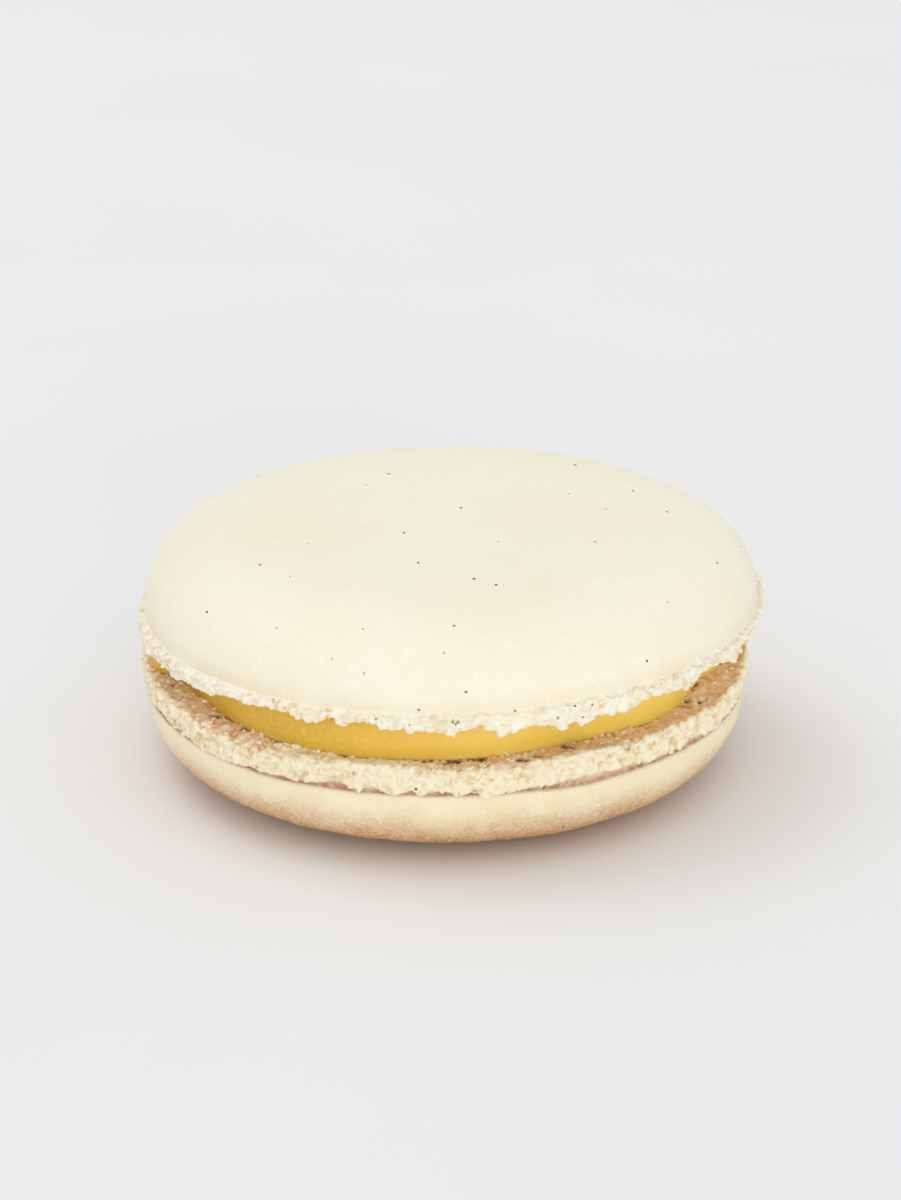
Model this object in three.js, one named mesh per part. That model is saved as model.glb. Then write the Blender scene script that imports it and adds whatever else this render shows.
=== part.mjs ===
// A vanilla macaron. Two round almond shells, each a smooth dome with a ruffled foot under it, hold a layer of
// yellow filling between their flat sides. The lower shell lies dome down and rests on its flattened middle.
// Millimetres, +Z up, the front towards -Y. Bearings are degrees from the front, positive to the right.
import * as THREE from "three";

// Heights on the axis, from the table up
const LOWER_CREASE = 6.4; // where the lower dome meets its foot
const LOWER_FACE = 8.65; // the flat side that the filling lies on
const UPPER_FACE = 11.75; // the flat side that lies on the filling
const UPPER_CREASE = 13.07;
const UPPER_TOP = 19.45;
const SEAM = 0.12; // clearance between the filling and each shell

// The upper shell sits a little crooked: it rises to the right, while the top of its dome stays level
const TILT = THREE.MathUtils.degToRad(1.7);

const CREASE_RADIUS = 24.0;
const RESTING_RISE = 0.05; // how much of the lower dome its resting spot has lost
const FACE_RADIUS = 22.5; // the flat sides are smooth as far out as this

const UPPER = {
  up: 1,
  crease: UPPER_CREASE,
  face: UPPER_FACE,
  centreX: 0,
  tilt: TILT,
  domeHeight: UPPER_TOP - UPPER_CREASE,
  domeLost: 0,
  roundness: [5.6, 2.35], // exponents of the dome's section: across, then up
  footReach: 0.75, // how far the foot stands out past the dome
  lumpSize: 0.2,
  seed: 0.37,
  // Slow swellings, each with its bearing, half width and size: of the outline, of the foot's lip away from the
  // crease and of the crease itself
  outlineWaves: [[-140, 40, 0.12]],
  lipWaves: [[-30, 13, -0.28], [15, 18, 0.32]],
  creaseWaves: [],
};

const LOWER = {
  up: -1,
  crease: LOWER_CREASE,
  face: LOWER_FACE,
  centreX: -0.4,
  tilt: 0,
  domeHeight: LOWER_CREASE + RESTING_RISE,
  domeLost: RESTING_RISE,
  roundness: [7, 2.2],
  footReach: 0.5,
  lumpSize: 0.28,
  seed: 0.81,
  outlineWaves: [[-85, 32, -0.35], [85, 32, -0.4]],
  lipWaves: [[-33, 12, -0.3], [30, 14, 0.4]],
  creaseWaves: [[27, 9, 0.22]],
};

// The foot's section, from the crease to its lip: shares of its height, of its reach and of the lumps
const FOOT_ROWS = [
  [0, -0.1, 0.15],
  [0.16, 0.65, 0.6],
  [0.42, 1, 1],
  [0.72, 1, 1],
  [0.95, 0.6, 0.8],
];
const FOOT_POINTS = 240; // points around the foot, halved as the rings get smoother
const LIP_RUFFLE = 0.13; // height of the small scallops along its lip
const OUTLINE_RUFFLE = 0.04;

const DOME_ROWS = 11;
const DOME_HALVINGS = [0, 7, 10]; // dome rows that start with half as many points

// The filling is pressed into a slightly flattened round and is set back further on the right
const FILLING_RADIUS = 22.0;
const FILLING_CENTRE_X = -0.6;
const FILLING_BULGE = 0.28;
// Where it is squeezed out, and set back
const FILLING_WAVES = [[-27, 20, 1.0], [-80, 8, 1.3], [-63, 8, -0.7], [26, 10, -0.5], [68, 12, -0.8]];
const FILLING_SEED = 0.13;

const MERINGUE = { color: 0xf3ead2, roughness: 0.75, metalness: 0 };
const BUTTERCREAM = { color: 0xe9c557, roughness: 0.45, metalness: 0 };

// Waves around a ring, from the FIRST to the LAST number per turn, about 1 high. Phases come from the seed, and
// each wave drifts sideways with height, so that lumps don't line up in columns.
function waves(angle, first, last, seed, height = 0) {
  const golden = 0.618034;
  const share = (x) => x - Math.floor(x);
  let sum = 0;
  for (let k = first; k <= last; k++) {
    const phase = 2 * Math.PI * share(seed + k * k * golden);
    const drift = 2.6 * (share(seed + k * golden) - 0.5);
    sum += Math.cos(k * angle + phase + drift * height);
  }
  return sum / Math.sqrt((last - first + 1) / 2);
}

// A single rounded swelling around a bearing
function swelling(angle, [bearing, halfWidth, size]) {
  const centre = THREE.MathUtils.degToRad(bearing - 90);
  const away = Math.atan2(Math.sin(angle - centre), Math.cos(angle - centre));
  return size * Math.exp(-((away / THREE.MathUtils.degToRad(halfWidth)) ** 2));
}

function swellings(angle, list) {
  return list.reduce((sum, one) => sum + swelling(angle, one), 0);
}

// A ring of points; at(angle) gives [radius, height]
function ring(points, centreX, at) {
  return Array.from({ length: points }, (_, i) => {
    const angle = (2 * Math.PI * i) / points;
    const [radius, height] = at(angle);
    return new THREE.Vector3(
      centreX + radius * Math.cos(angle),
      radius * Math.sin(angle),
      height,
    );
  });
}

// The faces between two neighbouring rings, the first one lower or further in. A ring may have as many points as
// the other, half or twice as many, or only one.
function strip(a, b) {
  const faces = [];
  const n = Math.max(a.length, b.length);
  const halved = a.length !== b.length && a.length > 1 && b.length > 1;
  for (let i = 0; i < n; i++) {
    const [a0, a1] = [i, i + 1].map((k) => pick(a, k, n, halved));
    const [b0, b1] = [i, i + 1].map((k) => pick(b, k, n, halved));
    if (a0 !== a1) faces.push(a0, a1, b1);
    if (b0 !== b1) faces.push(a0, b1, b0);
  }
  return faces;
}

// Point k of n on a ring. On a ring with half as many, every second point is shared by two neighbours.
function pick(points, k, n, halved) {
  if (points.length === 1) return points[0];
  if (points.length === n || !halved) return points[k % points.length];
  return points[Math.floor((k + 1) / 2) % points.length];
}

// A closed solid from a stack of rings that starts and ends with a point on the axis
function solid(rings) {
  const faces = [];
  for (let i = 1; i < rings.length; i++) faces.push(...strip(rings[i - 1], rings[i]));
  const geometry = new THREE.BufferGeometry().setFromPoints(faces);
  geometry.computeVertexNormals();
  return geometry;
}

// The dome's height, as a share, at a share of its radius
function domeShare(radiusShare, [across, upward]) {
  return (1 - radiusShare ** across) ** (1 / upward);
}

// Shares of the dome's radius, from the rim to near its middle, closest together over the rounded shoulder
function domeRadii(roundness) {
  const steps = 400;
  const outline = Array.from({ length: steps + 1 }, (_, i) => {
    const share = Math.cos((Math.PI / 2) * (i / steps)) ** (2 / roundness[0]);
    return { share, rise: domeShare(share, roundness) / 3.8 };
  });
  let length = 0;
  for (let i = 1; i <= steps; i++) {
    const [p, q] = [outline[i - 1], outline[i]];
    length += Math.hypot(q.share - p.share, q.rise - p.rise);
    q.length = length;
  }
  outline[0].length = 0;
  return Array.from({ length: DOME_ROWS }, (_, i) => {
    const wanted = length * ((i + 0.35) / DOME_ROWS) ** 1.5;
    return outline.find((p) => p.length >= wanted).share;
  });
}

function shell(form) {
  const { up, crease, face, centreX, seed } = form;
  const footHeight = Math.abs(crease - face);
  const slope = (radius, angle) => Math.tan(form.tilt) * radius * Math.cos(angle);
  const outline = (angle) =>
    CREASE_RADIUS + OUTLINE_RUFFLE * waves(angle, 2, 12, seed) + swellings(angle, form.outlineWaves);
  const creaseLift = (angle) =>
    0.05 * waves(angle, 6, 20, seed + 0.3) + swellings(angle, form.creaseWaves);
  const lip = (angle) =>
    LIP_RUFFLE * waves(angle, 14, 46, seed + 0.6) + swellings(angle, form.lipWaves);
  const lumps = (angle, height) =>
    form.lumpSize * (Math.abs(waves(angle, 16, 40, seed + 0.2, height)) - 0.6);
  const rings = [];

  // The flat side, from the axis outwards
  let points = FOOT_POINTS / 8;
  rings.push([new THREE.Vector3(centreX, 0, face)]);
  for (const radius of [9, 16, FACE_RADIUS]) {
    rings.push(ring(points, centreX, (t) => [radius, face + slope(radius, t)]));
    points *= 2;
  }
  // Its rim, from where the flat side ends to the foot's lip
  for (const [radius, share] of [[23.3, 0.35], [24.05, 0.85]])
    rings.push(ring(points, centreX, (t) => {
      const r = radius + 0.4 * share * lumps(t, footHeight);
      return [r, face - up * share * lip(t) + slope(r, t)];
    }));
  // The foot, from its lip to the crease
  for (const [share, out, lumpShare] of FOOT_ROWS.toReversed())
    rings.push(ring(points, centreX, (t) => {
      const r = outline(t) + out * form.footReach + lumpShare * lumps(t, share * footHeight);
      const fall = share * (footHeight + lip(t)) - (1 - share) * creaseLift(t);
      return [r, crease - up * fall + slope(r, t)];
    }));
  // The dome, whose top is level where its rim is tilted
  const top = form.domeHeight - form.domeLost;
  domeRadii(form.roundness).forEach((radiusShare, row) => {
    if (DOME_HALVINGS.includes(row)) points /= 2;
    rings.push(ring(points, centreX, (t) => {
      const rise = domeShare(radiusShare, form.roundness);
      const r = (outline(t) + 0.1) * radiusShare;
      const height = Math.min(form.domeHeight * rise + creaseLift(t) * (1 - rise), top);
      return [r, crease + up * height + slope(r, t) * (1 - rise)];
    }));
  });
  rings.push([new THREE.Vector3(centreX, 0, crease + up * top)]);
  return solid(up > 0 ? rings : rings.reverse());
}

// The filling's side bulges between the two shells; its faces follow theirs
function filling() {
  const radius = (angle) =>
    FILLING_RADIUS + 0.06 * waves(angle, 2, 12, FILLING_SEED) + swellings(angle, FILLING_WAVES);
  const x = (r, angle) => FILLING_CENTRE_X + r * Math.cos(angle);
  const floor = LOWER_FACE + SEAM;
  const ceiling = (r, angle) => UPPER_FACE - SEAM + Math.tan(TILT) * x(r, angle);
  const centre = (height) => [new THREE.Vector3(FILLING_CENTRE_X, 0, height)];
  const at = (points, share, level) =>
    ring(points, FILLING_CENTRE_X, (t) => {
      const r = share * radius(t) + FILLING_BULGE * Math.sin(Math.PI * level) * (share === 1);
      return [r, floor + level * (ceiling(r, t) - floor)];
    });
  return solid([
    centre(floor),
    at(30, 0.4, 0),
    at(60, 0.75, 0),
    ...[0, 0.2, 0.5, 0.8, 1].map((level) => at(120, 1, level)),
    at(60, 0.75, 1),
    at(30, 0.4, 1),
    centre(ceiling(0, 0)),
  ]);
}

function part(name, geometry, look) {
  const mesh = new THREE.Mesh(geometry, new THREE.MeshStandardMaterial(look));
  mesh.name = name;
  return mesh;
}

const macaron = new THREE.Group();
macaron.name = "macaron";
macaron.add(
  part("shell_bottom", shell(LOWER), MERINGUE),
  part("filling", filling(), BUTTERCREAM),
  part("shell_top", shell(UPPER), MERINGUE),
);

// Stand it on the origin, by the middle of its footprint
const box = new THREE.Box3().setFromObject(macaron);
const middle = box.getCenter(new THREE.Vector3());
for (const mesh of macaron.children)
  mesh.position.set(-middle.x, -middle.y, -box.min.z);

export default macaron;
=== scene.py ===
"""A vanilla macaron on a pale table: two meringue shells with crumbly feet, a layer of yellow filling between
them, and vanilla grains in the meringue. Lengths are millimetres until a mesh is made, when they turn into
metres. Bearings are degrees from the front (-Y), positive to the right."""

import itertools
import math

import bpy
import numpy as np
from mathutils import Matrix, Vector
from mathutils.bvhtree import BVHTree


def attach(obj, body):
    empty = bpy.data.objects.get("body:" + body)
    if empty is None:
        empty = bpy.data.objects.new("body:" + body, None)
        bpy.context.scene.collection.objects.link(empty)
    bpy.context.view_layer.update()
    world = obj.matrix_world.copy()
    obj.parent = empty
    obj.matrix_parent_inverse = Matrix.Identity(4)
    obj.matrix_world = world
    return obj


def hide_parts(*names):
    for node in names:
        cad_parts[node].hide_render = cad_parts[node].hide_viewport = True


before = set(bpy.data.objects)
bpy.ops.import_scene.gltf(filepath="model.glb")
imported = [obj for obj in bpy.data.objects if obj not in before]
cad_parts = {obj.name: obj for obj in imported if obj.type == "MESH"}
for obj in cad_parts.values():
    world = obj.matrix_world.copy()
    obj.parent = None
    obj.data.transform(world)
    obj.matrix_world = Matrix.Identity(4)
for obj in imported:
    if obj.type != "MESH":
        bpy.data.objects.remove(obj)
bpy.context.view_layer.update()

MM = 0.001

# The shells' axis stands this far from the middle of the footprint
AXIS = np.array([-0.04, -0.10])

LOWER_CREASE = 6.4  # heights on the axis, from the table up
LOWER_FACE = 8.65
UPPER_FACE = 11.75
UPPER_CREASE = 13.07
UPPER_TOP = 19.45
TILT = math.tan(math.radians(1.7))  # the upper shell rises to the right
CREASE_RADIUS = 24.0
RESTING_RISE = 0.05  # how much of the lower dome its resting spot has lost

# The photo, and the camera that took it
PHOTO_WIDTH, PHOTO_HEIGHT = 901, 1200
FOCAL_PIXELS = 3130
CAMERA_DISTANCE = 250
CAMERA_ELEVATION = math.radians(22.5)
TARGET = np.array([AXIS[0], AXIS[1], 8.0])
TARGET_PIXEL = (450.5, 650)

# Pixels of the photo along the ragged lower edge of the upper foot
UPPER_LIP_PIXELS = [
    (160, 667), (178, 681), (192, 688), (205, 696), (232, 700), (242, 705), (269, 710), (286, 714), (296, 722),
    (315, 724), (330, 718), (335, 723), (341, 727), (351, 725), (376, 726), (379, 732), (390, 733), (394, 731),
    (408, 734), (433, 735), (449, 737), (454, 740), (457, 735), (461, 733), (476, 732), (481, 728), (488, 732),
    (495, 733), (502, 736), (516, 735), (526, 732), (530, 729), (556, 728), (562, 731), (566, 726), (588, 725),
    (600, 719), (636, 710), (644, 700), (661, 696), (686, 693), (692, 690), (699, 678), (711, 671), (719, 666),
    (736, 663), (744, 648),
]
# ... along the inner edge of the lower foot's white crumb, where the pinkish flat side begins
LOWER_LIP_PIXELS = [
    (189, 712), (212, 729), (233, 742), (262, 752), (290, 757), (330, 761), (356, 762), (373, 763), (404, 766),
    (421, 769), (440, 769), (449, 768), (464, 773), (478, 771), (485, 768), (506, 765), (512, 769), (525, 766),
    (537, 763), (552, 758), (568, 754), (600, 747), (640, 741), (665, 731), (700, 715), (725, 702),
]
# ... and along the lower edge of the lower foot, which overhangs the dome
LOWER_LEDGE_PIXELS = [
    (198, 749), (214, 757), (230, 764), (246, 768), (262, 773), (290, 779), (320, 785), (330, 782), (340, 779),
    (347, 783), (354, 789), (364, 793), (377, 788), (390, 795), (402, 798), (416, 794), (426, 798), (437, 794),
    (450, 794), (468, 799), (478, 794), (494, 799), (511, 795), (528, 792), (545, 787), (559, 788), (571, 782),
    (593, 776), (610, 773), (625, 770), (650, 764), (670, 757), (690, 748), (700, 740), (712, 733),
]
# Pixels of the dark pits in the lower shell's flat side, beside the filling
PIT_PIXELS = [
    (175, 685), (216, 715), (244, 727), (334, 755), (344, 754), (424, 759), (431, 758), (439, 762), (443, 763),
    (451, 759), (457, 759), (472, 758), (482, 758), (520, 758), (526, 759), (534, 755), (540, 757), (565, 745),
    (570, 747), (577, 743), (612, 735), (646, 727), (682, 705), (686, 700), (701, 701),
]
# Pixels where the vanilla grains show: on the upper dome, from dark to faint, on the feet and on the lower dome
DARK_GRAIN_PIXELS = [
    (389, 474), (461, 508), (404, 533), (418, 563), (474, 579), (496, 585), (207, 612), (575, 465), (647, 661),
]
SOFT_GRAIN_PIXELS = [(260, 565), (633, 491), (667, 512), (595, 542), (717, 563), (454, 626), (466, 692)]
FAINT_GRAIN_PIXELS = [
    (366, 485), (569, 494), (606, 509), (498, 542), (290, 577), (277, 628), (332, 659), (364, 673), (444, 653),
    (308, 544), (363, 629), (667, 602), (741, 547),
]
FOOT_GRAIN_PIXELS = [(419, 710), (376, 719), (515, 711), (583, 717), (592, 705), (575, 706), (558, 718)]
BROWN_GRAIN_PIXELS = [(453, 722), (456, 724), (458, 722)]
LOWER_GRAIN_PIXELS = [(563, 827), (416, 789), (544, 787)]

tilt_up = math.atan((TARGET_PIXEL[1] - PHOTO_HEIGHT / 2) / FOCAL_PIXELS)
look_down = CAMERA_ELEVATION - tilt_up
EYE = TARGET + CAMERA_DISTANCE * np.array([0, -math.cos(CAMERA_ELEVATION), math.sin(CAMERA_ELEVATION)])
FORWARD = np.array([0, math.cos(look_down), -math.sin(look_down)])
UPWARD = np.array([0, math.sin(look_down), math.cos(look_down)])


def sight(pixel):
    """The direction from the camera through a pixel of the photo."""
    across = (pixel[0] - PHOTO_WIDTH / 2) / FOCAL_PIXELS
    above = (PHOTO_HEIGHT / 2 - pixel[1]) / FOCAL_PIXELS
    ray = FORWARD + across * np.array([1, 0, 0]) + above * UPWARD
    return ray / np.linalg.norm(ray)


def on_cylinder(pixel, radius):
    """The angle and height at which the sight line through a pixel meets the near side of an upright cylinder
    around the shells' axis."""
    ray = sight(pixel)
    start = EYE[:2] - AXIS
    a, b, c = ray[:2] @ ray[:2], 2 * start @ ray[:2], start @ start - radius**2
    reach = (-b - math.sqrt(max(0, b * b - 4 * a * c))) / (2 * a)
    x, y = start + reach * ray[:2]
    return math.atan2(y, x), EYE[2] + reach * ray[2]


def on_level(pixel, height):
    """Where the sight line through a pixel passes a height."""
    ray = sight(pixel)
    return (EYE + (height - EYE[2]) / ray[2] * ray)[:2]


def traced(angle, seen, chance):
    """Values seen at some angles in front, joined by straight lines, that pass into chance ones elsewhere."""
    angles, values = np.array(sorted(seen)).T
    at = np.mod(angle + 1.5 * math.pi, 2 * math.pi) - 1.5 * math.pi
    inside = np.minimum(at - angles[0], angles[-1] - at)
    share = np.clip(0.5 + inside / math.radians(6), 0, 1)
    return share * np.interp(at, angles, values) + (1 - share) * chance


# Noise. Every draw comes from a seed and a place, so each run gives the same macaron.


def dice(cells, seed):
    """A repeatable number from 0 to 1 for each row of three whole numbers."""
    x, y, z = cells.astype(np.int64).astype(np.uint64).T
    h = x * np.uint64(0x9E3779B97F4A7C15)
    h ^= y * np.uint64(0xC2B2AE3D27D4EB4F)
    h ^= z * np.uint64(0x165667B19E3779F9)
    h ^= np.uint64(seed + 1) * np.uint64(0x27D4EB2F1656)
    h = (h ^ (h >> np.uint64(29))) * np.uint64(0xBF58476D1CE4E5B9)
    h = (h ^ (h >> np.uint64(32))) * np.uint64(0x94D049BB133111EB)
    return ((h >> np.uint64(40)) & np.uint64(0xFFFFFF)) / float(0x1000000)


def cloud(points, size, seed):
    """Smooth noise from -1 to 1 whose patches are about SIZE across."""
    turned = points @ TURN.T / size + 31.7
    base = np.floor(turned)
    f = turned - base
    f = f * f * f * (f * (f * 6 - 15) + 10)
    total = np.zeros(len(points))
    for corner in itertools.product((0, 1), repeat=3):
        weight = np.prod(np.where(np.array(corner), f, 1 - f), axis=1)
        total += weight * dice(base + corner, seed)
    return 2 * total - 1


def layered(points, size, seed, octaves=3):
    """Clouds in clouds: each layer has half the size and half the height of the one before."""
    layers = sum(cloud(points, size / 2**k, seed + k) / 2**k for k in range(octaves))
    return layers / (2 - 0.5 ** (octaves - 1))


def balls(points, size, seed, smallest, largest, share=1.0):
    """How far each point is inside the balls strewn one to a cell of SIZE: the height of the ball's skin above
    it. Only a SHARE of the cells hold a ball."""
    p = points / size
    base = np.floor(p)
    highest = np.zeros(len(p))
    for step in itertools.product((-1, 0, 1), repeat=3):
        cell = base + step
        seat = cell + np.stack([dice(cell, seed + k) for k in range(3)], axis=1)
        radius = smallest + (largest - smallest) * dice(cell, seed + 3) ** 2
        radius = np.where(dice(cell, seed + 4) < share, radius, 0)
        away = np.sum(((p - seat) * size) ** 2, axis=1)
        highest = np.maximum(highest, radius**2 - away)
    return np.sqrt(highest)


TURN = np.linalg.qr(np.array([[0.6, 0.7, 0.2], [-0.5, 0.3, 0.8], [0.4, -0.7, 0.6]]))[0]


def swelling(angle, bearing, half_width, size):
    centre = math.radians(bearing - 90)
    away = np.arctan2(np.sin(angle - centre), np.cos(angle - centre))
    return size * np.exp(-((away / math.radians(half_width)) ** 2))


def swellings(angle, waves):
    return sum((swelling(angle, *wave) for wave in waves), np.zeros_like(angle))


def ring_noise(angle, size, seed, octaves=3):
    """Noise around the rim, the same at every height."""
    on_rim = np.stack([25 * np.cos(angle), 25 * np.sin(angle), np.zeros_like(angle)], axis=1)
    return layered(on_rim, size, seed, octaves)


# Meshes are stacks of rings, from a point on the axis at the bottom to one at the top. A ring has as many
# points as the next one, or half or twice as many.


def strip(a, b, start_a, start_b):
    """The faces between ring a and the ring b above it, with their first points' places in the mesh."""
    n = max(a, b)
    k = np.arange(n + 1)

    def places(count, start):
        if count == 1:
            return np.full(n + 1, start)
        return start + (k if count == n else (k + 1) // 2) % count

    pa, pb = places(a, start_a), places(b, start_b)
    faces = []
    for i in range(n):
        corners = [pa[i], pa[i + 1], pb[i + 1], pb[i]]
        faces.append([int(c) for j, c in enumerate(corners) if c != corners[j - 1]])
    return faces


def stack_faces(counts):
    starts = np.cumsum([0, *counts])
    pairs = zip(counts, counts[1:], starts, starts[1:])
    return [face for a, b, start_a, start_b in pairs for face in strip(a, b, start_a, start_b)]


def normals_of(points, faces):
    """Outward direction at each point."""
    corners = np.array([[f[0], f[1], f[2], f[-1]] for f in faces])
    a, b, c, d = (points[corner] for corner in corners.T)
    three_sided = np.array([len(f) == 3 for f in faces])[:, None]
    across = np.where(three_sided, np.cross(b - a, c - a), np.cross(c - a, d - b))
    total = np.zeros_like(points)
    for j in range(4):
        np.add.at(total, corners[:, j], across)
    return total / np.maximum(np.linalg.norm(total, axis=1), 1e-12)[:, None]


def make_piece(name, points, faces, **shades):
    """A smooth-shaded object from points in millimetres. Each shade is a number per point for its material."""
    mesh = bpy.data.meshes.new(name)
    mesh.from_pydata((points * MM).tolist(), [], faces)
    mesh.update()
    mesh.polygons.foreach_set("use_smooth", [True] * len(mesh.polygons))
    for shade, values in shades.items():
        mesh.attributes.new(shade, "FLOAT", "POINT").data.foreach_set("value", values.astype(np.float32))
    piece = bpy.data.objects.new(name, mesh)
    bpy.context.scene.collection.objects.link(piece)
    return piece


FILLING_CENTRE = AXIS + [-0.6, 0]
FILLING_RADIUS = 22.0
FILLING_SUNK = 0.15  # how far it reaches into each shell
# How far out its front edge is seen, at these bearings
FILLING_EDGE = [
    (-80, 23.4), (-76, 23.0), (-71, 21.6), (-62, 21.3), (-54, 21.5), (-45, 21.9), (-34, 22.4), (-26, 22.6),
    (-17, 22.7), (-9, 22.6), (-3, 22.3), (5, 22.2), (17, 21.8), (26, 21.4), (36, 21.6), (45, 21.9), (52, 21.9),
    (58, 21.6), (64, 21.2), (72, 21.0),
]


def filling_rim(angle):
    seen = [(math.radians(bearing - 90), radius) for bearing, radius in FILLING_EDGE]
    chance = FILLING_RADIUS + 0.3 * ring_noise(angle, 9, 301, 3)
    return traced(angle, seen, chance) + 0.03 * ring_noise(angle, 1.5, 305, 2)


# The shells

HIDDEN_PITS = 24


def seam_pits(points):
    """Depth of the pits beside the filling, dark with painted shade, as the photo shows them in front, chance ones
    at the back.
    """
    rng = np.random.default_rng(7)
    places = [on_level(pixel, LOWER_FACE) - FILLING_CENTRE for pixel in PIT_PIXELS]
    places += [np.array([math.cos(a), math.sin(a)]) for a in rng.uniform(0.02, 0.98, HIDDEN_PITS) * math.pi]
    depth = np.zeros(len(points))
    for place in places:
        angle = math.atan2(place[1], place[0])
        least = filling_rim(np.array([angle]))[0] + rng.uniform(0.15, 0.4)
        place = FILLING_CENTRE + place * max(1, least / np.linalg.norm(place))
        away = np.linalg.norm(points[:, :2] - place, axis=1) / rng.uniform(0.22, 0.45)
        depth = np.maximum(depth, np.exp(-(away**2)))
    return depth


def upper_lip_drop(angle):
    """How far the upper foot's edge hangs below its even height: as the photo shows it in front, by chance
    elsewhere. The crumb hangs 0.1 further."""
    radius = CREASE_RADIUS + UPPER["reach"]
    seen = [on_cylinder(pixel, radius) for pixel in UPPER_LIP_PIXELS]
    seen = [(a, UPPER_FACE + TILT * radius * math.cos(a) - z) for a, z in seen]
    chance = 0.30 * ring_noise(angle, 5, 11, 2) + 0.25 * ring_noise(angle, 1.5, 14, 2)
    return traced(angle, seen, chance) + 0.05 * ring_noise(angle, 0.6, 17, 2) - 0.1


def lower_lip_drop(angle):
    """How far the lower foot's inner edge falls short of its even height."""
    seen = [on_cylinder(pixel, 24.0) for pixel in LOWER_LIP_PIXELS]
    seen = [(a, 0.75 * (z - LOWER_FACE)) for a, z in seen]
    chance = 0.2 * ring_noise(angle, 3.5, 21, 2) + 0.16 * ring_noise(angle, 1.1, 24, 2)
    return traced(angle, seen, chance) + 0.05 * ring_noise(angle, 0.6, 27, 2)


def upper_ledge(angle):
    """How far the foot's other edge stops short of the crease."""
    return 0.12 * ring_noise(angle, 3, 41, 2) + 0.10 * ring_noise(angle, 1.0, 44, 2)


def lower_ledge(angle):
    """The same for the lower foot: as the photo shows it in front, by chance elsewhere."""
    radius = CREASE_RADIUS + LOWER["reach"]
    seen = [on_cylinder(pixel, radius) for pixel in LOWER_LEDGE_PIXELS]
    seen = [(a, z - LOWER_CREASE - 0.22) for a, z in seen]
    chance = 0.15 * ring_noise(angle, 3, 51, 2) + 0.2 * ring_noise(angle, 1.2, 54, 2)
    return traced(angle, seen, chance) + 0.04 * ring_noise(angle, 0.6, 57, 2)


# Each shell's form. Roundness: the exponents of the dome's section, across and up. Reach: how far the foot stands
# out past the crease circle. Undercut: how far it overhangs the dome. Inner: the radius from which the flat side is
# crumbly. Steps: the lengths of the mesh's faces on the flat side and on the foot. Pitted: the share of deep pits.
# Then come slow swellings, each with its bearing, half width and size: of the outline, of the crease, of the crumb
# that covers the flat side, and of the foot's flare and its taper towards the crease.
UPPER = dict(
    name="shell_top", up=1, crease=UPPER_CREASE, face=UPPER_FACE, centre_x=0.0, tilt=TILT,
    dome=UPPER_TOP - UPPER_CREASE, resting=0.0, roundness=(5.6, 2.35), unevenness=0.0,
    lip_drop=upper_lip_drop, ledge=upper_ledge, reach=0.55, undercut=0.0, inner=21.6,
    steps=(0.25, 0.085), pitted=0.3, seed=100,
    outline=[(-140, 40, 0.12)], crease_waves=[], covered=[],
    flare=[(-88, 22, 0.2), (88, 22, 0.25)], taper=[],
)
LOWER = dict(
    name="shell_bottom", up=-1, crease=LOWER_CREASE, face=LOWER_FACE, centre_x=-0.4, tilt=0.0,
    dome=LOWER_CREASE + RESTING_RISE, resting=RESTING_RISE, roundness=(7, 2.2), unevenness=0.08,
    lip_drop=lower_lip_drop, ledge=lower_ledge, reach=0.42, undercut=0.4, inner=20.8,
    steps=(0.16, 0.116), pitted=0.4, seed=200,
    outline=[(-85, 32, -0.28), (85, 32, -0.3)], crease_waves=[(27, 9, 0.22), (-32, 18, 0.18)],
    covered=[(-18, 13, 0.75), (120, 14, 0.6), (200, 18, 0.7)],
    flare=[], taper=[(-84, 30, 0.9), (84, 30, 0.9)],
)

LUMPINESS = 1.05
FOOT_POINTS = 1536


def foot_section(form):
    """The foot's outline from the flat side, out round the lip and up to the crease, in even steps. Each ring
    has its distance from the crease circle, its height from the crease, its shares of the lip's and of the
    ledge's ragged edges, and its shares of crumb and of flat side."""
    tall, reach, cut = abs(form["crease"] - form["face"]), form["reach"], form["undercut"]
    corners = np.array([
        # out, height, lip, ledge, crumb, flat side
        [form["inner"] - CREASE_RADIUS, -tall, 0, 0, 0.5, 1],
        [-1.4, -tall, 0, 0, 0.55, 1],
        [-0.5, -tall, 0.6, 0, 0.65, 0.9],
        [-0.05, -tall - 0.05, 1, 0, 0.9, 0.4],
        [reach * 0.75, -tall, 1, 0, 1, 0],
        [reach, -tall * 0.72, 0.6, 0, 1, 0],
        [reach, -tall * 0.45, 0, 0.4, 1, 0],
        [reach, -0.3, 0, 1, 1, 0],
        [0.25 - 1.4 * cut, -0.22, 0, 0.9, 0.6, 0],
        [0.1 - 1.25 * cut, 0, 0, 0, 0.1, 0],
    ])
    for _ in range(3):  # round the corners off
        a, b = corners[:-1], corners[1:]
        cuts = np.stack([0.75 * a + 0.25 * b, 0.25 * a + 0.75 * b], axis=1).reshape(-1, corners.shape[1])
        corners = np.concatenate([corners[:1], cuts, corners[-1:]])
    along = np.concatenate([[0], np.cumsum(np.linalg.norm(np.diff(corners[:, :2], axis=0), axis=1))])
    step = np.interp(corners[:, 5], [0.9, 1], form["steps"][::-1])
    rows = np.concatenate([[0], np.cumsum(np.diff(along) * 2 / (step[1:] + step[:-1]))])
    at = np.linspace(0, rows[-1], int(rows[-1]))
    return np.stack([np.interp(at, rows, column) for column in corners.T], axis=1)


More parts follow.
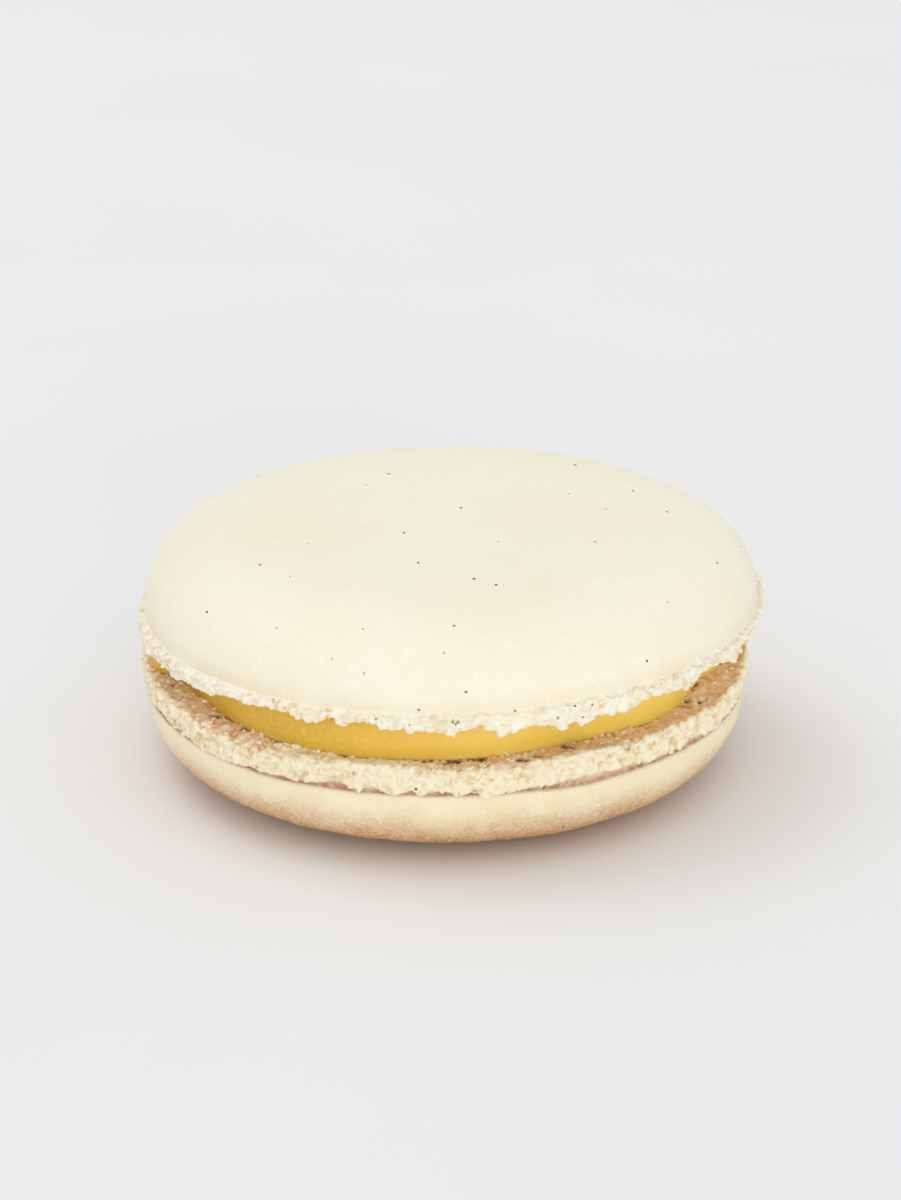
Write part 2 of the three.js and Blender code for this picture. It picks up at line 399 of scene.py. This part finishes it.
def dome_section(form):
    """Shares of the dome's radius and height from the rim to the axis, closest together at the rim."""
    across, upward = form["roundness"]
    turn = np.linspace(0, math.pi / 2, 2000)
    radius = np.cos(turn) ** (2 / across)
    rise = np.clip(1 - radius**across, 0, 1) ** (1 / upward)
    along = np.concatenate([[0], np.cumsum(np.hypot(np.diff(radius) * 24, np.diff(rise) * 6.4))])
    steps = along[-1] * np.linspace(0.012, 0.995, 52) ** 1.35
    return np.interp(steps, along, radius), np.interp(steps, along, rise)


def foot_crumb(points, form):
    """Height of the foot's lumps and grain, and the depth of its pits."""
    seed = form["seed"]
    warp = np.stack([cloud(points, 0.9, seed + k) for k in range(3)], axis=1)
    p = points + 0.25 * warp
    lumps = balls(p * [1, 1, 1.3], 0.95, seed + 10, 0.25, 0.62)
    knobs = balls(p, 0.5, seed + 20, 0.12, 0.36, 0.85)
    beads = balls(p, 0.28, seed + 25, 0.07, 0.2, 0.85)
    pits = balls(p, 0.75, seed + 30, 0.1, 0.38, form["pitted"])
    pits = np.maximum(pits, balls(p, 0.3, seed + 35, 0.04, 0.13, 0.5))
    bulk = LUMPINESS * (0.4 * lumps + 0.55 * knobs + 0.55 * beads)
    return bulk + 0.05 * layered(points, 0.5, seed + 40, 2), pits


def shell(form):
    """The shell's piece, and its surface for sight lines."""
    up, seed = form["up"], form["seed"]
    rings = []  # each ring's points, with its shares of crumb, flat side, recess and dome rim

    def ring(count, radius, height, crumb=0.0, flat=0.0, recess=0.0, rim=0.0, level=0.0):
        """Radius and height from the crease are functions of the angle. Level is 1 where the tilt has faded out."""
        angle = 2 * math.pi * np.arange(count) / count
        r = radius(angle)
        x = r * np.cos(angle)
        z = form["crease"] + up * height(angle) + form["tilt"] * (1 - level) * x
        place = np.stack([x + AXIS[0] + form["centre_x"], r * np.sin(angle) + AXIS[1], z], axis=1)
        rings.append((place, np.broadcast_to([crumb, flat, recess, rim], (count, 4))))

    def outline(angle):
        return CREASE_RADIUS + 0.06 * ring_noise(angle, 16, seed + 1) + swellings(angle, form["outline"])

    def crease(angle):
        ragged = 0.07 * ring_noise(angle, 4, seed + 2) + 0.08 * ring_noise(angle, 0.9, seed + 5, 2)
        return ragged + swellings(angle, form["crease_waves"])

    tall = abs(form["crease"] - form["face"])
    around = 2 * math.pi * np.arange(FOOT_POINTS) / FOOT_POINTS
    lips, ledges, creases, outlines = (f(around) for f in (form["lip_drop"], form["ledge"], crease, outline))
    flare, taper = (swellings(around, form[name]) for name in ("flare", "taper"))
    for count, radius in zip([1, 96, 192, 384, 768], [0, 5, 10, 15, 19]):
        ring(count, lambda a: np.full_like(a, radius), lambda a: np.full_like(a, -tall), flat=1.0)
    for out, height, lip, ledge, crumb, flat in foot_section(form):
        near_crease = np.clip(1 + height / 0.25, 0, 1)
        spread = 1 + (1 - flat) * (flare - taper * np.clip(1 + height / tall, 0, 1))
        ring(
            FOOT_POINTS,
            lambda a: CREASE_RADIUS + out * spread + (1 - flat) * (outlines - CREASE_RADIUS),
            lambda a: height - lip * lips - ledge * ledges + near_crease * creases,
            crumb, flat, recess=near_crease,
        )
    top = form["dome"] - form["resting"]
    for i, (share, rise) in enumerate(zip(*dome_section(form))):
        count = 768 if i < 8 else 384 if i < 40 else 192 if i < 48 else 96
        ring(
            count,
            lambda a: (outline(a) + 0.1) * share,
            lambda a: np.minimum(form["dome"] * rise + crease(a) * (1 - rise), top),
            rim=max(0, 1 - rise / 0.22), level=rise,
        )
    ring(1, lambda a: np.zeros_like(a), lambda a: np.full_like(a, top), level=1.0)

    if up < 0:
        rings.reverse()
    faces = stack_faces([len(place) for place, _ in rings])
    points = np.concatenate([place for place, _ in rings])
    crumb, flat, recess, rim = np.concatenate([shares for _, shares in rings]).T

    rough = crumb > 0
    bulk, pits = foot_crumb(points[rough], form)
    relief, hollow = np.zeros((2, len(points)))
    relief[rough] = bulk - 0.9 * pits - bulk.mean()
    # Hollow: how deep a point lies in the gaps between the lumps or in a pit; the material paints shade there
    low, high = np.percentile(bulk, [4, 35])  # heights of the gaps between the lumps
    hollow[rough] = np.clip((high - bulk) / (high - low), 0, 1) * 0.8 + np.clip(pits / 0.3, 0, 1) * 0.7
    hollow = np.clip(hollow, 0, 1) * (crumb > 0.25)
    low_down = np.clip((LOWER_CREASE - points[:, 2]) / 2, 0, 1)
    uneven = form["unevenness"] * layered(points, 1.5, seed + 50, 3) * low_down

    # The seam beside the filling is lower, in patches and pits, and the material paints shade into it
    x, y = (points[:, :2] - FILLING_CENTRE).T
    bearing = np.arctan2(y, x)
    past_filling = np.hypot(x, y) - filling_rim(bearing)
    patchy = np.clip(0.1 + 1.8 * layered(points, 1.1, seed + 60, 3), 0, 1)
    seam = 0.6 * flat * patchy * np.clip(1 - (past_filling - 0.2) / 0.45, 0, 1)
    if up < 0:
        seam = np.maximum(seam, seam_pits(points) * (crumb > 0))

    points = points + normals_of(points, faces) * (crumb * relief + uneven - 0.35 * seam)[:, None]
    points[:, 2] = np.maximum(points[:, 2], 0)
    flat = flat * (1 - swellings(bearing, form["covered"]))
    crumb = np.clip(crumb * 1.6, 0, 1)
    shades = dict(crumb=crumb, flat=flat, hollow=hollow, recess=recess, rim=rim, seam=seam)
    piece = make_piece(form["name"] + "_meringue", points, faces, **shades)
    return piece, BVHTree.FromPolygons((points * MM).tolist(), faces)


# The filling


def filling():
    floor = LOWER_FACE - FILLING_SUNK
    rings = []

    def ring(count, share, level):
        angle = 2 * math.pi * np.arange(count) / count
        bulge = 0.3 * math.sin(math.pi * np.clip(level, 0, 1)) ** 0.7
        bulge += 0.15 * math.exp(-((level / 0.09) ** 2))  # where it spreads over the lower flat side
        r = share * (filling_rim(angle) + (bulge - 0.05) * (share > 0.99))
        x, y = FILLING_CENTRE[0] + r * np.cos(angle), FILLING_CENTRE[1] + r * np.sin(angle)
        ceiling = UPPER_FACE + FILLING_SUNK + TILT * x
        rings.append(np.stack([x, y, floor + level * (ceiling - floor)], axis=1))

    inner = [(1, 0), (90, 0.25), (180, 0.5), (360, 0.75), (720, 0.9), (720, 0.97)]
    for count, share in inner:
        ring(count, share, 0)
    for level in np.linspace(0, 1, 26):
        ring(720, 1, level)
    for count, share in reversed(inner):
        ring(count, share, 1)
    faces = stack_faces([len(r) for r in rings])
    points = np.concatenate(rings)
    outward = normals_of(points, faces)
    side = np.abs(outward[:, 2]) < 0.9
    smear = 0.05 * layered(points[side] * [1, 1, 2.5], 2.2, 310, 3)
    smear += 0.03 * layered(points[side], 0.6, 315, 2)
    points[side] += outward[side] * smear[:, None]
    return make_piece("filling_cream", points, faces)


# Flakes: dark vanilla grains half sunk in the surface, and loose crumbs

HIDDEN_GRAINS = 20
LOOSE_CRUMBS = 700


def flake(centre, normal, size, seed):
    """A small flattened, uneven lump with its flat side along the surface."""
    rng = np.random.default_rng(seed)
    rows, count = 5, 8
    side = np.cross(normal, [0.3, 0.9, 0.2])
    side /= np.linalg.norm(side)
    other = np.cross(normal, side)
    spin = rng.uniform(0, 2 * math.pi)
    length, width = size * rng.uniform(0.95, 1.2), size * rng.uniform(0.75, 1.0)
    points = []
    for tall in np.linspace(-1, 1, rows):
        n = 1 if abs(tall) == 1 else count
        for j in range(n):
            a = 2 * math.pi * j / count
            wide = math.sqrt(max(0, 1 - tall**2)) * (1 + 0.25 * rng.uniform(-1, 1))
            u, v = length * wide * math.cos(a), width * wide * math.sin(a)
            along = side * (u * math.cos(spin) - v * math.sin(spin))
            along = along + other * (u * math.sin(spin) + v * math.cos(spin))
            points.append(centre + along + normal * size * (0.7 * tall + 0.1))
    return np.array(points), stack_faces([1, count, count, count, 1])


def joined(flakes):
    """The points and faces of many flakes as those of one mesh."""
    faces, start = [], 0
    for p, f in flakes:
        faces += [[corner + start for corner in face] for face in f]
        start += len(p)
    return np.concatenate([p for p, _ in flakes]), faces


def grains(trees):
    """Vanilla grains on the upper and on the lower shell, whose surfaces are the two trees."""
    flakes, shades = [], []

    def add(place, normal, size, seed, shade):
        flakes.append(flake(np.array(place) / MM, np.array(normal), size, seed))
        shades.append(np.full(len(flakes[-1][0]), shade))

    eye = Vector(EYE * MM)
    groups = [  # pixels, size and darkness
        (DARK_GRAIN_PIXELS, 0.1, 0.95),
        (SOFT_GRAIN_PIXELS, 0.1, 0.6),
        (FAINT_GRAIN_PIXELS, 0.09, 0.15),
        (FOOT_GRAIN_PIXELS, 0.1, 0.55),
        (BROWN_GRAIN_PIXELS, 0.12, 0.4),
        (LOWER_GRAIN_PIXELS, 0.11, 0.8),
    ]
    seed = 0
    for pixels, size, shade in groups:
        for pixel in pixels:
            hits = [tree.ray_cast(eye, Vector(sight(pixel))) for tree in trees]
            place, normal, _, _ = min((h for h in hits if h[0]), key=lambda h: h[3])
            add(place, normal, size, seed, shade)
            seed += 1
    # Chance ones where the photo doesn't show: sight lines from around the macaron towards its middle
    rng = np.random.default_rng(11)
    for k in range(HIDDEN_GRAINS):
        angle, low = (k + rng.uniform(0.1, 0.9)) / HIDDEN_GRAINS * math.pi, k % 4 == 1
        start = np.array([40 * math.cos(angle), 40 * math.sin(angle), 2.5 if low else rng.uniform(15, 24)])
        aim = np.array([*AXIS, 3.5 if low else 14])
        place, normal, _, _ = trees[low].ray_cast(Vector(start * MM), Vector(aim - start).normalized())
        if normal.dot(eye - place) < 0:
            add(place, normal, rng.uniform(0.09, 0.12), 100 + k, rng.uniform(0.3, 1))
    points, faces = joined(flakes)
    return make_piece("vanilla_grains", points, faces, shade=np.concatenate(shades))


def crumbs(tree):
    """Loose crumbs on the flat side beside the filling."""
    rng = np.random.default_rng(5)
    flakes = []
    for seed in range(LOOSE_CRUMBS):
        angle, out = rng.uniform(0, 2 * math.pi), rng.uniform(0, 1) ** 1.4
        size = 0.08 + 0.24 * rng.uniform() ** 3
        radius = filling_rim(np.array([angle]))[0] + 1.9 * out
        start = np.array([*(FILLING_CENTRE + radius * np.array([math.cos(angle), math.sin(angle)])), 10.5])
        place, normal, _, _ = tree.ray_cast(Vector(start * MM), Vector((0, 0, -1)))
        if place is not None and place.z >= (LOWER_FACE - 0.6) * MM:
            flakes.append(flake(np.array(place) / MM, np.array(normal), size, seed + 1000))
    points, faces = joined(flakes)
    light = np.clip(0.2 + cloud(points, 2.5, 71), 0, 1)
    return make_piece("loose_crumbs", points, faces, crumb=np.ones(len(points)), flat=1 - light)


# Materials


def linear(code):
    """A colour as Blender wants it, from its web code."""
    parts = [int(code[i : i + 2], 16) / 255 for i in (1, 3, 5)]
    return [c / 12.92 if c <= 0.04045 else ((c + 0.055) / 1.055) ** 2.4 for c in parts] + [1]


class Nodes:
    """A short way to write a material's nodes. Colours are web codes, and sizes of noise are millimetres."""

    def __init__(self, name):
        self.material = bpy.data.materials.new(name)
        self.material.use_nodes = True
        self.tree = self.material.node_tree
        self.shader = self.tree.nodes["Principled BSDF"]
        self.place = self.tree.nodes.new("ShaderNodeTexCoord").outputs["Object"]

    def node(self, kind, **settings):
        made = self.tree.nodes.new("ShaderNode" + kind)
        for key, value in settings.items():
            setattr(made, key, value)
        return made

    def put(self, socket, value):
        if isinstance(value, bpy.types.NodeSocket):
            self.tree.links.new(value, socket)
        else:
            socket.default_value = linear(value) if isinstance(value, str) else value

    def along(self, axis):
        made = self.node("SeparateXYZ")
        self.put(made.inputs[0], self.place)
        return made.outputs[axis]

    def shade(self, name):
        return self.node("Attribute", attribute_name=name).outputs["Fac"]

    def noise(self, size_mm, detail=3.0, roughness=0.55):
        made = self.node("TexNoise")
        self.put(made.inputs["Vector"], self.place)
        made.inputs["Scale"].default_value = 1 / (size_mm * MM)
        made.inputs["Detail"].default_value = detail
        made.inputs["Roughness"].default_value = roughness
        return made.outputs["Fac"]

    def spread(self, value, low, high, to_low=0.0, to_high=1.0):
        made = self.node("MapRange", interpolation_type="SMOOTHSTEP")
        for socket, v in zip(made.inputs, (value, low, high, to_low, to_high)):
            self.put(socket, v)
        return made.outputs["Result"]

    def math(self, operation, a, b):
        made = self.node("Math", operation=operation)
        self.put(made.inputs[0], a)
        self.put(made.inputs[1], b)
        return made.outputs[0]

    def times(self, a, b):
        return self.math("MULTIPLY", a, b)

    def mix(self, share, a, b):
        made = self.node("Mix", data_type="RGBA")
        self.put(made.inputs[0], share)
        self.put(made.inputs[6], a)
        self.put(made.inputs[7], b)
        return made.outputs[2]

    def bump(self, height, distance_mm, strength, under=None):
        made = self.node("Bump")
        made.inputs["Strength"].default_value = strength
        made.inputs["Distance"].default_value = distance_mm * MM
        self.put(made.inputs["Height"], height)
        if under:
            self.put(made.inputs["Normal"], under)
        return made.outputs["Normal"]

    def finish(self, **sockets):
        for name, value in sockets.items():
            self.put(self.shader.inputs[name.replace("_", " ")], value)
        return self.material


def dome_skin(m, rim, z):
    """The domes' smooth skin, with painted shade along the rim, and how far it darkens and browns towards the
    resting spot: partly toasting, partly painted shade and painted reflection of a brown board.
    """
    skin = m.mix(m.spread(m.noise(14, 2), 0.3, 0.7), "#f7f3e1", "#f5efd8")
    fine = m.spread(m.noise(0.35, 3), 0.35, 0.7)
    skin = m.mix(m.times(fine, 0.2), skin, "#efe4ca")
    # Painted shade: a tan band along the dome's rim next to the crease, in patches
    rim_shade = m.times(rim, m.spread(m.noise(9, 2), 0.35, 0.65, 0.1, 0.5))
    skin = m.mix(rim_shade, skin, "#ead3aa")
    # Painted reflection of a brown board: the lower dome is yellower, most below 5 mm
    skin = m.mix(m.spread(z, 9.0 * MM, 5.0 * MM, 0, 0.5), skin, "#f6e3b4")
    # Darker and browner towards the resting spot: partly toasting, partly painted shade and painted reflection of a
    # brown board
    patches = m.spread(m.noise(3.5, 3, 0.6), 0.35, 0.65, -0.4 * MM, 0.4 * MM)
    toast_shade_and_bounce = m.spread(m.math("ADD", z, patches), 5.8 * MM, 1.2 * MM)
    toast_shade_and_bounce = m.times(toast_shade_and_bounce, m.spread(m.noise(0.3, 3, 0.6), 0.3, 0.7, 0.6, 1.0))
    skin = m.mix(toast_shade_and_bounce, skin, "#c68034")
    pores = m.times(m.spread(m.noise(0.2, 4, 0.7), 0.5, 0.68), m.spread(toast_shade_and_bounce, 0.2, 0.9, 0, 0.5))
    return m.mix(pores, skin, "#a97a50"), toast_shade_and_bounce


def fresh_crumb(m, hollow, z):
    """The feet's white crumb. The lower foot is yellower, a painted reflection of a brown board. The hollows hold
    painted shade in gold, strongest on the lower foot and at the far left and right, with dark painted shade in the
    deepest."""
    fresh = m.mix(m.spread(m.noise(1.1, 3), 0.35, 0.65), "#fefaea", "#faf0d4")
    # Painted reflection of a brown board: the lower foot is yellower
    fresh = m.mix(m.spread(z, 11.0 * MM, 8.0 * MM, 0, 0.4), fresh, "#fcebbd")
    # Painted shade in the gaps and pits between the lumps, stronger on the lower foot and towards the far left and
    # right
    low = m.spread(z, 11.0 * MM, 9.0 * MM, 0.75, 1)
    sideways = m.spread(m.math("ABSOLUTE", m.along("X"), 0), 4 * MM, 16 * MM, 0.85, 1.35)
    deep = m.times(m.times(low, sideways), m.spread(m.noise(2.5, 3), 0.35, 0.65, 0.25, 0.7))
    fresh = m.mix(m.times(hollow, deep), fresh, "#dca54e")
    # Dark specks of painted shade in the deepest pits
    deep_pit_shade = m.times(m.spread(hollow, 0.6, 1), m.spread(m.noise(0.8, 2), 0.55, 0.63, 0, 0.8))
    return m.mix(deep_pit_shade, fresh, "#a8733f")


def flat_side(m, hollow, seam, mottle):
    """The pinkish tan crumb of the side that faces the filling, with painted shade in its gaps and darker painted
    shade in the seam.
    """
    under = m.mix(mottle, "#fee8c6", "#f6ca9a")
    under = m.mix(m.spread(m.noise(5, 2), 0.4, 0.65, 0, 0.35), under, "#e2b288")
    under = m.mix(m.spread(m.noise(0.9, 4, 0.65), 0.52, 0.6), under, "#fbeed4")
    # Painted shade in the gaps and pits
    gap_shade = m.times(hollow, m.spread(m.noise(1.5, 3), 0.35, 0.65, 0.1, 0.55))
    under = m.mix(gap_shade, under, "#a56e44")
    # Painted shade along the seam beside the filling and in its pits
    return m.mix(m.spread(seam, 0.2, 0.8, 0, 0.9), under, "#7d4526")


def meringue_material():
    m = Nodes("meringue")
    names = ("crumb", "flat", "hollow", "recess", "rim", "seam")
    crumb, flat, hollow, recess, rim, seam = (m.shade(name) for name in names)
    z = m.along("Z")
    mottle = m.spread(m.noise(0.7, 5, 0.65), 0.35, 0.65)
    skin, toast_shade_and_bounce = dome_skin(m, rim, z)

    # Noise makes the borders between the three ragged
    side_edge = m.math("ADD", flat, m.spread(m.noise(0.8, 5, 0.65), 0.25, 0.75, -0.6, 0.6))
    colour = m.mix(m.spread(side_edge, 0.42, 0.62), fresh_crumb(m, hollow, z), flat_side(m, hollow, seam, mottle))
    crumb_edge = m.math("ADD", crumb, m.spread(m.noise(0.5, 4, 0.65), 0.3, 0.7, -0.3, 0.3))
    colour = m.mix(m.spread(crumb_edge, 0.1, 0.5), skin, colour)

    # Painted shade: the recess under the lower foot's overhang is browner
    shaded = m.times(m.spread(recess, 0.1, 0.8), m.spread(mottle, 0, 1, 0.5, 0.9))
    below = m.spread(z, 7.5 * MM, 7.0 * MM)
    colour = m.mix(m.times(shaded, below), colour, "#b97f5c")

    grain = m.bump(m.noise(0.22, 3, 0.6), 0.02, 0.35)
    coarse = m.bump(m.times(m.noise(0.16, 3, 0.65), crumb), 0.1, 0.9, grain)
    pitted = m.bump(m.times(m.noise(0.3, 4, 0.7), toast_shade_and_bounce), 0.08, 0.7, coarse)
    return m.finish(
        Base_Color=colour, Roughness=m.spread(crumb, 0, 1, 0.6, 0.85), Normal=pitted,
        Subsurface_Weight=0.15, Subsurface_Radius=(1.0, 0.7, 0.4), Subsurface_Scale=0.2 * MM,
        Specular_IOR_Level=0.3,
    )


def filling_material():
    """Buttercream, deeper yellow on the left: painted shade, where the upper shell overhangs it."""
    m = Nodes("buttercream")
    # Painted shade: darker towards the left, where the upper shell shades the filling
    colour = m.mix(m.spread(m.along("X"), -16 * MM, 10 * MM), "#d2a42a", "#ffdb6a")
    slow = m.spread(m.noise(5, 2), 0.35, 0.65)
    colour = m.mix(m.times(slow, 0.25), colour, "#f9c848")
    fine = m.spread(m.noise(0.3, 3), 0.3, 0.7)
    colour = m.mix(m.times(fine, 0.3), colour, "#fcda68")
    return m.finish(
        Base_Color=colour, Roughness=m.spread(fine, 0, 1, 0.38, 0.5), Normal=m.bump(m.noise(0.25, 3), 0.02, 0.5),
        Subsurface_Weight=0.6, Subsurface_Radius=(1.0, 0.6, 0.15), Subsurface_Scale=1.3 * MM,
        Specular_IOR_Level=0.5,
    )


def grain_material():
    """Vanilla, from pale brown where a grain's shade is 0 to nearly black where it is 1."""
    m = Nodes("vanilla")
    dark = m.mix(m.spread(m.noise(0.1, 2), 0.3, 0.7), "#3a2a1c", "#57412c")
    colour = m.mix(m.shade("shade"), "#d6bd92", dark)
    return m.finish(Base_Color=colour, Roughness=0.6, Normal=m.bump(m.noise(0.05, 2), 0.01, 0.5))


def table_material():
    m = Nodes("table")
    tone = m.mix(m.spread(m.noise(60, 3), 0.3, 0.7), "#f1f1f1", "#efefef")
    return m.finish(Base_Color=tone, Roughness=0.9, Specular_IOR_Level=0.2)


# The macaron

top_shell, top_tree = shell(UPPER)
bottom_shell, bottom_tree = shell(LOWER)
cream = filling()
vanilla = grains([top_tree, bottom_tree])

meringue = meringue_material()
for piece, look, node, slot in (
    (crumbs(bottom_tree), meringue, None, "meringue"),
    (top_shell, meringue, "shell_top", "meringue"),
    (bottom_shell, meringue, "shell_bottom", "meringue"),
    (cream, filling_material(), "filling", "filling"),
    (vanilla, grain_material(), None, "meringue"),
):
    piece.data.materials.append(look)
    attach(piece, "root")
    if node:
        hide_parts(node)


# The stage: a pale table under soft studio light

table_mesh = bpy.data.meshes.new("table")
HALF_TABLE = 6  # metres
corners = [(x * HALF_TABLE, y * HALF_TABLE, 0) for x, y in ((-1, -1), (1, -1), (1, 1), (-1, 1))]
table_mesh.from_pydata(corners, [], [(0, 1, 2, 3)])
table = bpy.data.objects.new("table", table_mesh)
table.data.materials.append(table_material())
bpy.context.scene.collection.objects.link(table)

world = bpy.data.worlds.new("studio")
world.use_nodes = True
world.node_tree.nodes["Background"].inputs["Color"].default_value = linear("#fafafa")
world.node_tree.nodes["Background"].inputs["Strength"].default_value = 0.835
bpy.context.scene.world = world
bpy.context.scene.view_settings.view_transform = "Standard"


def area_light(name, bearing, elevation, distance, size, power, tint="#ffffff"):
    """A soft square light that faces the macaron. Distance and size in metres."""
    lamp = bpy.data.lights.new(name, "AREA")
    lamp.size, lamp.energy, lamp.color = size, power, linear(tint)[:3]
    holder = bpy.data.objects.new(name, lamp)
    b, e = math.radians(bearing), math.radians(elevation)
    place = Vector((math.sin(b) * math.cos(e), -math.cos(b) * math.cos(e), math.sin(e))) * distance
    holder.location = place
    holder.rotation_euler = (-place).to_track_quat("-Z", "Y").to_euler()
    bpy.context.scene.collection.objects.link(holder)


area_light("key", -120, 60, 0.9, 0.5, 1.3)
area_light("front", 14, 8, 1.3, 0.4, 4.3)

camera_data = bpy.data.cameras.new("camera")
camera_data.sensor_width = 36  # along the picture's longer side
camera_data.lens = FOCAL_PIXELS / PHOTO_HEIGHT * camera_data.sensor_width
camera_data.clip_start = 0.01
camera = bpy.data.objects.new("camera", camera_data)
camera.location = Vector(EYE * MM)
camera.rotation_euler = (math.pi / 2 - look_down, 0, 0)
bpy.context.scene.collection.objects.link(camera)
bpy.context.scene.camera = camera
